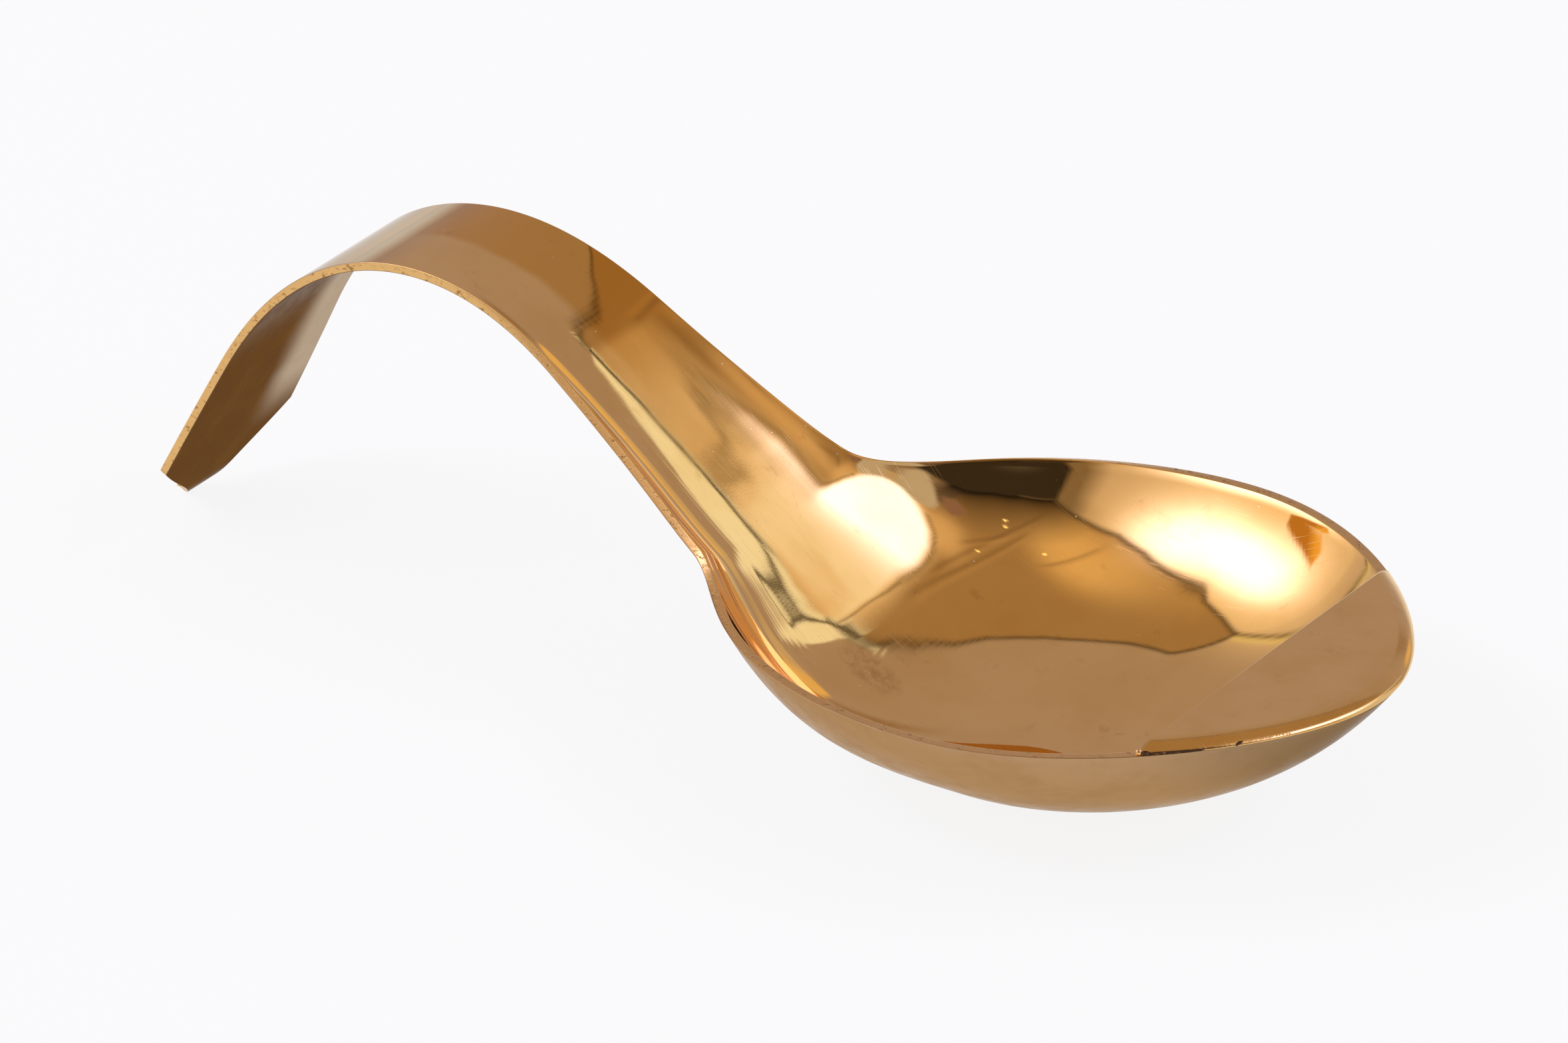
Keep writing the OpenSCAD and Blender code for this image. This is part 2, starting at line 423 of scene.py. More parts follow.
def make_plate(materials, shift):
    top_z = RIM_HEIGHT + PLATE_THICK
    rings = [plate_ring(FACE_MARGIN, FACE_MARGIN, RIM_HEIGHT), plate_ring(0, 0, RIM_HEIGHT)]
    for k in range(PLATE_ROUND_STEPS + 1):
        a = math.radians(90 * k / PLATE_ROUND_STEPS)
        rounded = (1 - SHOULDER_SLOPE_SHARE) * (1 - math.sin(a))
        depth = SHOULDER_DROP * (rounded + SHOULDER_SLOPE_SHARE * math.cos(a))
        inset = SHOULDER_REACH * (1 - math.cos(a))
        rings.append(plate_ring(inset, arris_inset(depth), top_z - depth))
    rings.append(plate_ring(SHOULDER_REACH + FACE_MARGIN, PLATE_ARRIS + FACE_MARGIN, top_z))
    rings = np.array(rings)
    strips = [0] * rings.shape[1]
    distances = np.arange(len(rings)) * PLATE_RING_GAP
    points, faces, kinds, uvs = ring_mesh(rings, strips, distances)
    around = rings.shape[1]
    bottom = tuple(range(around))
    top = tuple(reversed(range(len(points) - around, len(points))))
    for cap in (bottom, top):
        faces.append(cap)
        kinds.append(0)
        uvs.append([(points[n][0], points[n][1]) for n in cap])
    return make_object("tip_plate_dressed", points, faces, kinds, uvs, materials, shift)


# Traces of brazing, as ways along the rim from the plate's near corner
SEAM_START, SEAM_END = 0.6, 14.0
SEAM_STEPS, SEAM_SIDES = 90, 10
SEAM_RADIUS = 0.24
SEAM_INSET, SEAM_RISE = 0.42, 0.10
SEAM_WIDE, SEAM_HIGH = 1.3, 0.8
GRAINS_START, GRAINS_END, GRAINS_COUNT = 17.0, 24.0, 13
GRAIN_INSET, GRAIN_RISE = 0.14, 0.42
POLE_SHARE = 0.02
LOOK_AHEAD = 0.002
BRAZE_SEED = 7
# Lumps, each with its way, inset, rise over the rim and half sizes
BEAD = (0.05, 0.75, 0.30, (0.55, 0.4675, 0.55))
BEAD_LEAD = 0.25
FLUX = (0.9, 0.55, 0.18, (0.75, 0.45, 0.36))
SCALE = (15.2, 0.25, 0.25, (0.78, 0.30, 0.26))
SCALE_LEAN = 0.35


def on_rim(way, inset, z):
    """Point by the rim, its direction along the rim and its direction outwards."""
    share = rim_share(way)
    here = rim_place(share, inset)
    ahead = rim_place(share + LOOK_AHEAD, inset) - here
    along = np.append(ahead / np.linalg.norm(ahead), 0)
    return np.append(here, z), along, np.array([along[1], -along[0], 0])


def seam_cord(random):
    """Uneven dark line between plate and rim, thin at both ends."""
    rings = []
    for i in range(SEAM_STEPS + 1):
        t = i / SEAM_STEPS
        way = SEAM_START + (SEAM_END - SEAM_START) * t
        centre, _, out = on_rim(way, SEAM_INSET, RIM_HEIGHT + SEAM_RISE)
        fullness = 0.25 + 0.75 * min(1, 9 * t, 3 * (1 - t))
        radius = SEAM_RADIUS * fullness * random.uniform(0.9, 1.1)
        wide, high = radius * SEAM_WIDE * out, radius * SEAM_HIGH * UP
        turns = 2 * math.pi * np.arange(SEAM_SIDES) / SEAM_SIDES
        rings.append([centre + math.cos(a) * wide + math.sin(a) * high for a in turns])
    return np.array(rings)


def lump(centre, axes, segments=20, rows=12):
    """Rings of an oval lump, from its three half axes."""
    along, out, up = axes
    turns = 2 * math.pi * np.arange(segments) / segments
    sides = [along * math.cos(a) + out * math.sin(a) for a in turns]
    rings = []
    for i in range(rows + 1):
        tilt = math.pi * (i + POLE_SHARE) / (rows + 2 * POLE_SHARE)
        rings.append([centre + up * math.cos(tilt) + side * math.sin(tilt) for side in sides])
    return np.array(rings)


def joined(parts, name, materials, shift):
    """One piece from several closed tubes and lumps, each with its material."""
    points, faces, kinds, uvs = [], [], [], []
    for rings, kind in parts:
        first = len(points)
        count, around = rings.shape[:2]
        points += list(rings.reshape(-1, 3))
        for i in range(count - 1):
            for k in range(around):
                n = (k + 1) % around
                a, b = first + i * around + k, first + i * around + n
                faces.append((a, b, b + around, a + around))
        faces.append(tuple(first + k for k in reversed(range(around))))
        faces.append(tuple(first + (count - 1) * around + k for k in range(around)))
        kinds += [kind] * (len(faces) - len(kinds))
    uvs = [[(points[n][0], points[n][1]) for n in face] for face in faces]
    return make_object(name, np.array(points), faces, kinds, uvs, materials, shift)


def rim_lump(way, inset, rise, sizes, lead=0.0, lean=0.0):
    """A lump by the rim, which may lie ahead of its way and lean up along the rim."""
    centre, along, out = on_rim(way, inset, RIM_HEIGHT + rise)
    leaning = unit(along + lean * UP)
    axes = (sizes[0] * leaning, sizes[1] * out, sizes[2] * np.cross(out, leaning))
    return lump(centre - along * lead, axes)


def make_braze(materials, shift):
    bright, dark = 0, 1
    random = np.random.default_rng(BRAZE_SEED)
    parts = [
        (seam_cord(random), dark),
        (rim_lump(*BEAD, lead=BEAD_LEAD), bright),
        (rim_lump(*FLUX), dark),
        (rim_lump(*SCALE, lean=SCALE_LEAN), dark),
    ]
    for k in range(GRAINS_COUNT):
        share = (k + random.uniform(-0.3, 0.3)) / GRAINS_COUNT
        way = GRAINS_START + (GRAINS_END - GRAINS_START) * share
        rise = GRAIN_RISE + random.uniform(-0.08, 0.08)
        centre, along, out = on_rim(way, GRAIN_INSET, RIM_HEIGHT + rise)
        size = random.uniform(0.10, 0.20)
        axes = (1.4 * size * along, 0.8 * size * out, size * UP)
        parts.append((lump(centre, axes, 12, 8), bright))
    return joined(parts, "braze_traces", materials, shift)


# Camera, matched to the photograph
IMAGE_WIDTH = 2357
SENSOR_WIDTH = 36.0
FOCAL_PIXELS = 18957.7
CAMERA_AZIMUTH = 34.006
CAMERA_ELEVATION = 26.868
CAMERA_ROLL = -0.327
CAMERA_DISTANCE = 1894.5
CAMERA_SIDE = -10.391
CAMERA_RISE = 7.746
TARGET = Vector((-40, 0, 20))


def make_camera(shift):
    a, e, r = (math.radians(d) for d in (CAMERA_AZIMUTH, CAMERA_ELEVATION, CAMERA_ROLL))
    back = Vector((math.sin(a) * math.cos(e), -math.cos(a) * math.cos(e), math.sin(e)))
    right = Vector((math.cos(a), math.sin(a), 0))
    up = back.cross(right)
    place = (TARGET + right * CAMERA_SIDE + up * CAMERA_RISE + back * CAMERA_DISTANCE
             - Vector((shift, 0, 0))) * MM
    x_axis = right * math.cos(r) + up * math.sin(r)
    y_axis = up * math.cos(r) - right * math.sin(r)
    data = bpy.data.cameras.new("camera")
    data.sensor_fit = "HORIZONTAL"
    data.sensor_width = SENSOR_WIDTH
    data.lens = SENSOR_WIDTH * FOCAL_PIXELS / IMAGE_WIDTH
    data.clip_start = 0.05
    data.clip_end = 20
    camera = bpy.data.objects.new("camera", data)
    axes = Matrix((x_axis, y_axis, back)).transposed().to_4x4()
    camera.matrix_world = Matrix.Translation(place) @ axes
    bpy.context.scene.collection.objects.link(camera)
    bpy.context.scene.camera = camera


# Colours of the metal
BRASS = (0.87, 0.54, 0.20)
BRASS_DULL = (0.82, 0.49, 0.165)
ORANGE_PAINTED_REFLECTION = (0.74, 0.37, 0.072)
BROWN_PATINA = (0.50, 0.25, 0.075)
BOWL_OUTSIDE = (0.485, 0.295, 0.150)
LEG_TARNISH_AND_SHADE = (0.168, 0.081, 0.040)
LEG_PAINTED_REFLECTION = (0.53, 0.41, 0.30)
CUT_BRASS = (0.76, 0.46, 0.175)
CUT_PIT = (0.34, 0.165, 0.05)
BRAZE = (0.80, 0.50, 0.22)
BRAZE_DARK = (0.10, 0.055, 0.03)
PALE_PAINTED_SHADE = (0.52, 0.40, 0.285)
PAINTED_SHADE_EDGE_TINT = (0.79, 0.72, 0.63)
LEG_EDGE = (0.50, 0.42, 0.35)
REFLECTION_STRIP_TINT = (0.75, 0.68, 0.58)
BOWL_EDGE = (0.76, 0.62, 0.47)
TIP_SHADE = (0.34, 0.225, 0.13)
TIP_SHADE_EDGE = (0.54, 0.46, 0.38)
CONTACT_PAINTED_SHADE = (0.20, 0.115, 0.05)
DUST = (0.95, 0.88, 0.72)
BLOTCH = (0.30, 0.15, 0.05)
FRECKLE = (0.12, 0.06, 0.025)
NO_TINT = (1.0, 1.0, 1.0)

# Where stains, tarnish, painted reflections and painted shade start and end on the spoon
SMUDGE = (24.0, -6.7)
SMUDGE_SIZES = (4.5, 3.2)
ORANGE_LEAN = 0.35
ORANGE_BEHIND = (-70, -56)
ORANGE_AHEAD = (-34, -14)
ORANGE_SIDE = (-1.6, 0.8)
PALE_SHADE_AHEAD = (-73, -56)
PALE_SHADE_HEIGHT = (36, 53)
LEG_TO_BOWL = (-72, -18)
TIP_FROM = (84, 107)
STRIP_SIDE = (3.5, 12)
STRIP_AHEAD = (-76, -66)
STRIP_HEIGHT = (8, 20)
STRIP_LEAN = 0.05
CONTACT_HEIGHT = (2, 13)
CONTACT_BEHIND = (-60, -20)


class Surface:
    """A metal whose patterns are laid out in millimetres of the spoon."""

    def __init__(self, name):
        self.material = bpy.data.materials.new(name)
        self.material.use_nodes = True
        self.tree = self.material.node_tree
        self.shader = self.tree.nodes["Principled BSDF"]
        self.shader.inputs["Metallic"].default_value = 1
        place = self.tree.nodes.new("ShaderNodeTexCoord").outputs["Object"]
        scale = self.tree.nodes.new("ShaderNodeVectorMath")
        scale.operation = "SCALE"
        scale.inputs["Scale"].default_value = 1 / MM
        self.tree.links.new(place, scale.inputs[0])
        self.place = scale.outputs[0]
        split = self.tree.nodes.new("ShaderNodeSeparateXYZ")
        self.tree.links.new(self.place, split.inputs[0])
        self.x, self.y, self.z = split.outputs

    def put(self, socket, value):
        if isinstance(value, bpy.types.NodeSocket):
            self.tree.links.new(value, socket)
        elif socket.type == "RGBA":
            socket.default_value = (*value, 1)
        else:
            socket.default_value = value

    def math(self, operation, a, b=0.0):
        node = self.tree.nodes.new("ShaderNodeMath")
        node.operation = operation
        self.put(node.inputs[0], a)
        self.put(node.inputs[1], b)
        return node.outputs[0]

    def times(self, a, b):
        return self.math("MULTIPLY", a, b)

    def plus(self, a, b):
        return self.math("ADD", a, b)

    def ramp(self, value, low, high, first=0.0, last=1.0):
        """Smooth change from one number to another while a value goes from low to high."""
        node = self.tree.nodes.new("ShaderNodeMapRange")
        node.interpolation_type = "SMOOTHSTEP"
        for name, v in (("Value", value), ("From Min", low), ("From Max", high),
                        ("To Min", first), ("To Max", last)):
            self.put(node.inputs[name], v)
        return node.outputs["Result"]

    def blend(self, share, a, b):
        node = self.tree.nodes.new("ShaderNodeMix")
        node.data_type = "RGBA"
        for name, v in (("Factor_Float", share), ("A_Color", a), ("B_Color", b)):
            self.put(next(s for s in node.inputs if s.identifier == name), v)
        return next(s for s in node.outputs if s.identifier == "Result_Color")

    def noise(self, size, detail=2.0, rough=0.5, stretch=(1, 1, 1), turn=0.0, warp=0.0):
        """Noise with features of about a size in millimetres, which may be drawn out."""
        mapping = self.tree.nodes.new("ShaderNodeMapping")
        self.put(mapping.inputs["Vector"], self.place)
        mapping.inputs["Rotation"].default_value = (0, 0, math.radians(turn))
        mapping.inputs["Scale"].default_value = [1 / (size * s) for s in stretch]
        node = self.tree.nodes.new("ShaderNodeTexNoise")
        for name, v in (("Vector", mapping.outputs[0]), ("Scale", 1.0), ("Detail", detail),
                        ("Roughness", rough), ("Distortion", warp)):
            self.put(node.inputs[name], v)
        return node.outputs[0]

    def stray(self, size, detail, reach):
        """A length in millimetres that wanders within a reach, round nought."""
        return self.times(self.math("SUBTRACT", self.noise(size, detail), 0.5), reach)

    def specks(self, size, radius):
        """Scattered dots: 1 inside a dot, cells of a size in millimetres."""
        mapping = self.tree.nodes.new("ShaderNodeMapping")
        self.put(mapping.inputs["Vector"], self.place)
        mapping.inputs["Scale"].default_value = [1 / size] * 3
        node = self.tree.nodes.new("ShaderNodeTexVoronoi")
        self.put(node.inputs["Vector"], mapping.outputs[0])
        self.put(node.inputs["Scale"], 1.0)
        return self.ramp(node.outputs["Distance"], radius * 0.5 / size, radius / size, 1.0, 0.0)

    def scratches(self, turn, length, width, amount):
        """Fine straight marks in one direction of the plan."""
        lines = self.noise(width, 1.0, 0.5, (length / width, 1, length / width), turn)
        gaps = self.noise(length * 0.7, 1.0)
        lines = self.ramp(lines, 0.70 - amount, 0.76 - amount)
        return self.times(lines, self.ramp(gaps, 0.42, 0.6))

    def spot(self, centre, radii, soft=0.5):
        """A soft oval patch in the plan, 1 inside."""
        a = self.math("DIVIDE", self.math("SUBTRACT", self.x, centre[0]), radii[0])
        b = self.math("DIVIDE", self.math("SUBTRACT", self.y, centre[1]), radii[1])
        far = self.plus(self.times(a, a), self.times(b, b))
        return self.ramp(far, 1 - soft, 1 + soft, 1.0, 0.0)

    def bump(self, height, depth, onto=None):
        """Relief of a depth in millimetres."""
        node = self.tree.nodes.new("ShaderNodeBump")
        self.put(node.inputs["Strength"], 1.0)
        self.put(node.inputs["Distance"], depth * MM)
        self.put(node.inputs["Height"], height)
        if onto is not None:
            self.put(node.inputs["Normal"], onto)
        return node.outputs[0]

    def finish(self, color, roughness, normal):
        self.put(self.shader.inputs["Base Color"], color)
        self.put(self.shader.inputs["Roughness"], roughness)
        self.put(self.shader.inputs["Normal"], normal)
        return self.material


def fine_scratches(s, amount=0.0):
    first = s.math("MAXIMUM", s.scratches(24, 16, 0.10, amount), s.scratches(-37, 11, 0.08, amount))
    return s.math("MAXIMUM", first, s.scratches(78, 9, 0.09, amount))


def polished_upper():
    s = Surface("polished_upper")
    cloudy = s.ramp(s.noise(16, 3.0, 0.6), 0.35, 0.7)
    color = s.blend(cloudy, BRASS, BRASS_DULL)
    # Orange painted reflection over the far half of the crest, pale painted shade behind it, brown
    # marks in the bowl
    wander = s.stray(9, 2.0, 3.0)
    # Painted reflection: an orange tone of the surroundings over the far half of the crest
    lean = s.plus(s.x, s.times(s.y, ORANGE_LEAN))
    along = s.times(s.ramp(lean, *ORANGE_BEHIND), s.ramp(s.x, *ORANGE_AHEAD, 1.0, 0.0))
    orange = s.times(along, s.ramp(s.plus(s.y, wander), *ORANGE_SIDE))
    color = s.blend(s.times(orange, 0.9), color, ORANGE_PAINTED_REFLECTION)
    # Painted shade: a paler, duller colour and dimmer edge reflections behind the crest, stronger
    # higher up
    rear = s.ramp(s.plus(s.x, wander), *PALE_SHADE_AHEAD, 1.0, 0.0)
    rear = s.times(rear, s.ramp(s.z, *PALE_SHADE_HEIGHT, 0.3, 1.0))
    color = s.blend(rear, color, PALE_PAINTED_SHADE)
    s.put(s.shader.inputs["Specular Tint"], s.blend(rear, NO_TINT, PAINTED_SHADE_EDGE_TINT))
    mottled = s.ramp(s.noise(1.4, 3.0, 0.7), 0.30, 0.72)
    smudge = s.times(s.spot(SMUDGE, SMUDGE_SIZES, 0.8), mottled)
    color = s.blend(s.times(smudge, 0.6), color, BROWN_PATINA)
    stain = s.times(s.ramp(s.noise(5.5, 4.0, 0.7, warp=0.6), 0.60, 0.74), 0.30)
    color = s.blend(stain, color, BROWN_PATINA)
    dust = s.specks(3.1, 0.13)
    color = s.blend(s.times(dust, 0.7), color, DUST)
    marks = fine_scratches(s)
    haze = s.ramp(s.noise(11, 3.0, 0.6), 0.4, 0.75, 0.0, 0.03)
    roughness = s.plus(s.plus(haze, 0.016), s.times(marks, 0.07))
    roughness = s.plus(roughness, s.times(dust, 0.3))
    waves = s.bump(s.noise(8.0, 1.0), 0.010)
    relief = s.bump(s.plus(s.times(marks, -0.4), dust), 0.003, waves)
    grain = s.bump(s.noise(0.35, 2.0), 0.0003, relief)
    return s.finish(color, roughness, grain)


def tarnished_and_shaded_lower():
    s = Surface("tarnished_and_shaded_lower")
    # Dark on the leg and darker brass on the bowl's outside: tarnish, and painted shade of the
    # shadowed ground these faces reflect
    front = s.ramp(s.plus(s.x, s.stray(14, 3.0, 24.0)), *LEG_TO_BOWL)
    color = s.blend(front, LEG_TARNISH_AND_SHADE, BOWL_OUTSIDE)
    tint = s.blend(front, LEG_EDGE, BOWL_EDGE)
    # Painted shade towards the bowl's tip, where its outside reflects the ground in the spoon's
    # shadow
    tip = s.ramp(s.x, *TIP_FROM)
    color = s.blend(tip, color, TIP_SHADE)
    tint = s.blend(tip, tint, TIP_SHADE_EDGE)
    # Paler strip along the far side of the leg, a painted reflection where the sheet curls
    side = s.plus(s.plus(s.y, s.times(s.z, STRIP_LEAN)), s.stray(8, 2.0, 3.0))
    strip = s.times(s.ramp(side, *STRIP_SIDE), s.ramp(s.x, *STRIP_AHEAD, 1.0, 0.0))
    strip = s.times(strip, s.ramp(s.z, *STRIP_HEIGHT))
    color = s.blend(strip, color, LEG_PAINTED_REFLECTION)
    s.put(s.shader.inputs["Specular Tint"], s.blend(strip, tint, REFLECTION_STRIP_TINT))
    # Painted shade low down near the ground, under the bowl and neck
    contact = s.times(s.ramp(s.z, *CONTACT_HEIGHT, 0.75, 0.0), s.ramp(s.x, *CONTACT_BEHIND))
    color = s.blend(contact, color, CONTACT_PAINTED_SHADE)
    blotches = s.ramp(s.noise(9, 3.0, 0.6), 0.45, 0.75)
    color = s.blend(s.times(blotches, 0.22), color, BLOTCH)
    freckles = s.times(s.specks(4.3, 0.45), s.ramp(s.noise(7, 1.0), 0.5, 0.6))
    color = s.blend(s.times(freckles, 0.3), color, FRECKLE)
    marks = fine_scratches(s, 0.02)
    haze = s.ramp(s.noise(4, 3.0, 0.6), 0.3, 0.8, 0.2, 0.34)
    roughness = s.plus(haze, s.times(marks, 0.1))
    waves = s.bump(s.noise(10, 2.0), 0.02)
    relief = s.bump(s.math("SUBTRACT", s.times(marks, -1.0), freckles), 0.0015, waves)
    return s.finish(color, roughness, relief)


def cut_edge():
    s = Surface("cut_edge")
    pits = s.ramp(s.noise(0.75, 3.0, 0.7, (1.6, 1, 0.8)), 0.55, 0.68)
    color = s.blend(s.times(pits, 0.8), CUT_BRASS, CUT_PIT)
    bright = s.ramp(s.noise(2.5, 2.0, 0.6), 0.5, 0.7)
    color = s.blend(s.times(bright, 0.35), color, BRASS)
    relief = s.bump(s.math("SUBTRACT", s.noise(0.5, 3.0, 0.6, (3, 1, 1)), pits), 0.03)
    return s.finish(color, s.plus(s.times(pits, 0.2), 0.30), relief)


def satin_plate():
    s = Surface("satin_plate")
    color = s.blend(s.ramp(s.noise(13, 3.0, 0.6), 0.35, 0.7), BRASS, BRASS_DULL)
    stain = s.times(s.ramp(s.noise(4.0, 4.0, 0.7), 0.60, 0.75), 0.25)
    color = s.blend(stain, color, BROWN_PATINA)
    marks = fine_scratches(s, 0.01)
    brushed = s.noise(0.12, 2.0, 0.6, (60, 1, 60), 34)
    haze = s.ramp(s.noise(9, 3.0, 0.6), 0.4, 0.75, 0.12, 0.19)
    roughness = s.plus(haze, s.times(marks, 0.15))
    waves = s.bump(s.noise(9.0, 1.0), 0.010)
    brushed = s.times(brushed, 0.4)
    relief = s.bump(s.plus(s.times(marks, -1.0), brushed), 0.003, waves)
    return s.finish(color, roughness, relief)


def braze_bright():
    s = Surface("braze_bright")
    color = s.blend(s.ramp(s.noise(0.6, 3.0), 0.4, 0.7), BRAZE, BRASS)
    relief = s.bump(s.noise(0.25, 3.0, 0.6), 0.03)
    return s.finish(color, s.ramp(s.noise(0.4, 2.0), 0.3, 0.7, 0.12, 0.3), relief)


def braze_dark():
    s = Surface("braze_dark")
    color = s.blend(s.ramp(s.noise(0.5, 3.0, 0.7), 0.5, 0.75), BRAZE_DARK, BROWN_PATINA)
    s.put(s.shader.inputs["Specular Tint"], BRAZE_DARK)
    relief = s.bump(s.noise(0.3, 4.0, 0.7), 0.08)
    return s.finish(color, s.ramp(s.noise(0.7, 2.0), 0.3, 0.7, 0.4, 0.65), relief)


# Light tent as it shows in the metal, in degrees from the zenith towards +X and +Y
DOME_RADIUS = 3.0
DOME_LOWEST = 93.0
CORNER_TURN = 68.5
CORNER_TILT = 53.2
CORNER_REACH = 7.0
TURN_STEP, TURN_FINE = 1.25, 0.15
TILT_START, TILT_STEP, TILT_FINE = 0.4, 0.8, 0.12
BACK_LEFT_TURN, LEFT_FRONT_TURN, FRONT_RIGHT_TURN = 181.0, 292.0, 345.0
GROUND_TILT = 79.0
COOL_TILT, COOL_FIRST_TURN, COOL_LAST_TURN = 44.0, 20.0, 66.0
CEILING_OUTLINE = [
    (19.4, 49.3), (14, 48.6), (9, 46.3), (4, 41), (0, 32), (-6, 24), (-12, 18), (-20, 12.5),
    (-28, 8), (-36, 3), (-42, -1), (-36, -8), (-29, -14), (-27, -20), (-18, -30), (-9, -36.5),
    (2, -40.5), (12, -43.5), (18, -45.5), (30, -41), (38, -34), (43, -26), (44, -12), (42, -2),
    (38, 8), (33.5, 18), (29, 28), (25, 38), (22, 44),
]
RIGHT_LAMP = [
    (19.15, 49), (19.5, 47.8), (20.3, 46), (22.9, 40), (26.6, 29), (31.8, 16), (36.8, 6),
    (43, -3), (48, -9), (58, -9), (56, 4), (50, 14), (44, 24), (37, 34), (29, 43), (22.5, 48.6),
]
RIGHT_LAMP_CORNER = (19.4, 48.9)
CREAM_PATCH = [
    (16, 48.4), (16.9, 49.7), (15, 57), (12.5, 65), (11.2, 68.5), (13.7, 65), (16.2, 59.6),
    (17.5, 57), (18.7, 54.2), (19.4, 52.2), (19.75, 50.6), (19.8, 49.6), (19.5, 49.05),
    (18.5, 48.75),
]
CREAM_LINE = [(11, 48.2), (15, 48.6), (18.3, 48.8), (18.3, 49.3), (15, 49), (11, 48.3)]
WARM_REFLECTION_PATCH = [
    (-5.5, 71.5), (-3, 67.5), (3, 68), (8, 70), (11, 72), (7, 77), (-2, 78), (-6.5, 76),
]
HANDLE_PAINTED_REFLECTION = [
    (-52.3, -31), (-56, -26), (-60, -21.3), (-64.5, -13.8), (-68, -15.5), (-67.5, -19.5),
    (-63, -25), (-58, -31), (-54.5, -35.5),
]
GREY_CLOTH = [
    (52.5, -15), (54, -18.5), (52.6, -25), (47.5, -19), (43.4, -12.5), (42.9, -8), (45.5, -6),
    (50, -9),
]
RED_CLOTH = [(42.6, -14), (45, -18.5), (42.6, -22), (39, -21), (38, -17), (40, -13)]
CAMERA_OPENING = [
    (17, -45.5), (28, -41.5), (37, -35.5), (43, -28.5), (49, -24.5), (57, -21), (70, -26),
    (64, -60), (42, -78), (26, -74), (19, -57),
]
OPENING_SHADE = 20.0

# Seams of the tent, each with a width and a depth
SEAM_BACK_LEFT = [(-42, -1), (-51, 1.4), (-60, 4.2), (-75, 6), (-92, 6)]
SEAM_CEILING_RIGHT = [
    (18.9, 48.9), (19.7, 46), (22.1, 39.8), (25.9, 28.6), (31, 15), (36, 4.5), (41.5, -3),
]
PATCH_SEAM = [
    (16, 48.75), (18.3, 48.95), (19.1, 49.5), (19.2, 50.4), (18.9, 52), (18.4, 53.4),
    (17.8, 55.1), (17, 56.8), (16.5, 58),
]
SEAMS = (
    (CEILING_OUTLINE[:11], 0.75, 0.75),
    (CEILING_OUTLINE[10:19], 0.9, 0.8),
    (SEAM_BACK_LEFT, 0.9, 0.75),
    (SEAM_CEILING_RIGHT, 0.55, 0.5),
    (PATCH_SEAM, 0.16, 0.95),
)
NARROW_SEAM = 0.5
YELLOW_LINE_SIDE, YELLOW_LINE_WIDTH = 1.6, 1.2

# Creases in the cloth overhead, each a bow through three points
CREASES = (
    ((22, 38), (28, -5), (17, -41)),
    ((18, 46), (24, 8), (18, -31)),
    ((32, 0), (29, -12), (23, -25)),
    ((8, -15), (-1, -24), (-9, -34)),
)
CREASE_WIDTH = 0.9
CREASE_DEPTH = 0.44
CREASE_ENDS = 6.0
CREASE_STEPS = 8

# Soft spots, each with its centre, its half length and width, and its turn
HANGING_SHADE_SPOT = ((-12, 65.5), 8.5, 3, 45)
CEILING_LIT_SPOT = ((-4, -25), 24, 12, -28)
CEILING_SIDE_SPOT = ((36, 2), 14, 7, -70)
LEFT_HALO_SPOT = ((-42, -26), 46, 24, -30)
LEFT_LAMP_SPOT = ((-37, -26.5), 27, 8.5, -30)
OPENING_PALE_SPOT = ((36, -50), 10, 2.5, 30)
GLINTS = ((26.5, -26.5), (28, -29), (26.5, -5), (8, -23))
GLINT_SIZES = (0.7, 0.5, 30)

# Colours of the tent's light
WALL_BACK = (0.46, 0.395, 0.42)
WALL_LEFT = (0.62, 0.53, 0.50)
WALL_FRONT = (0.30, 0.24, 0.22)
WALL_RIGHT = (0.64, 0.51, 0.40)
WALL_COOL = (0.80, 0.85, 1.0)
GROUND_PALE = (0.82, 0.88, 0.97)
HANGING_SHADE = (0.34, 0.24, 0.17)
REFLECTION_WARM = (0.92, 0.70, 0.33)
REFLECTION_FADED = (0.66, 0.58, 0.47)
CLOTH_GREY = (0.60, 0.62, 0.75)
CLOTH_RED = (0.30, 0.20, 0.20)
CEILING = (0.415, 0.295, 0.185)
CEILING_LIT = (1.0, 0.76, 0.45)
CEILING_SIDE = (0.80, 0.62, 0.45)
CREASE_DARK = (0.22, 0.15, 0.09)
CREASE_LIT = (0.60, 0.43, 0.27)
LAMP = (3.6, 3.7, 6.2)
LEFT_HALO = (1.2, 1.08, 1.0)
LAMP_RIGHT = (2.3, 2.5, 4.8)
RIGHT_HALO = (0.95, 0.82, 0.70)
NEAR_CORNER = (1.06, 1.07, 1.12)
HANDLE_DIM = (0.60, 0.29, 0.06)
HANDLE_LIT = (1.05, 0.62, 0.13)
OPENING_EDGE = (0.28, 0.22, 0.17)
OPENING_DARK = (0.045, 0.038, 0.034)
OPENING_PALE = (0.12, 0.11, 0.11)
GLINT = (2.6, 2.3, 1.5)
CREAM = (1.05, 1.18, 1.35)
SEAM_DARK = (0.08, 0.06, 0.04)
YELLOW_LINE = (0.95, 0.92, 0.55)


def glow(u, v, centre, along, across, turn):
    """A soft oval spot, 1 at its centre, with its longer axis turned by so many degrees."""
    a = math.radians(turn)
    du, dv = u - centre[0], v - centre[1]
    x = (du * math.cos(a) + dv * math.sin(a)) / along
    y = (dv * math.cos(a) - du * math.sin(a)) / across
    return np.exp(-((x * x + y * y) ** 1.5))


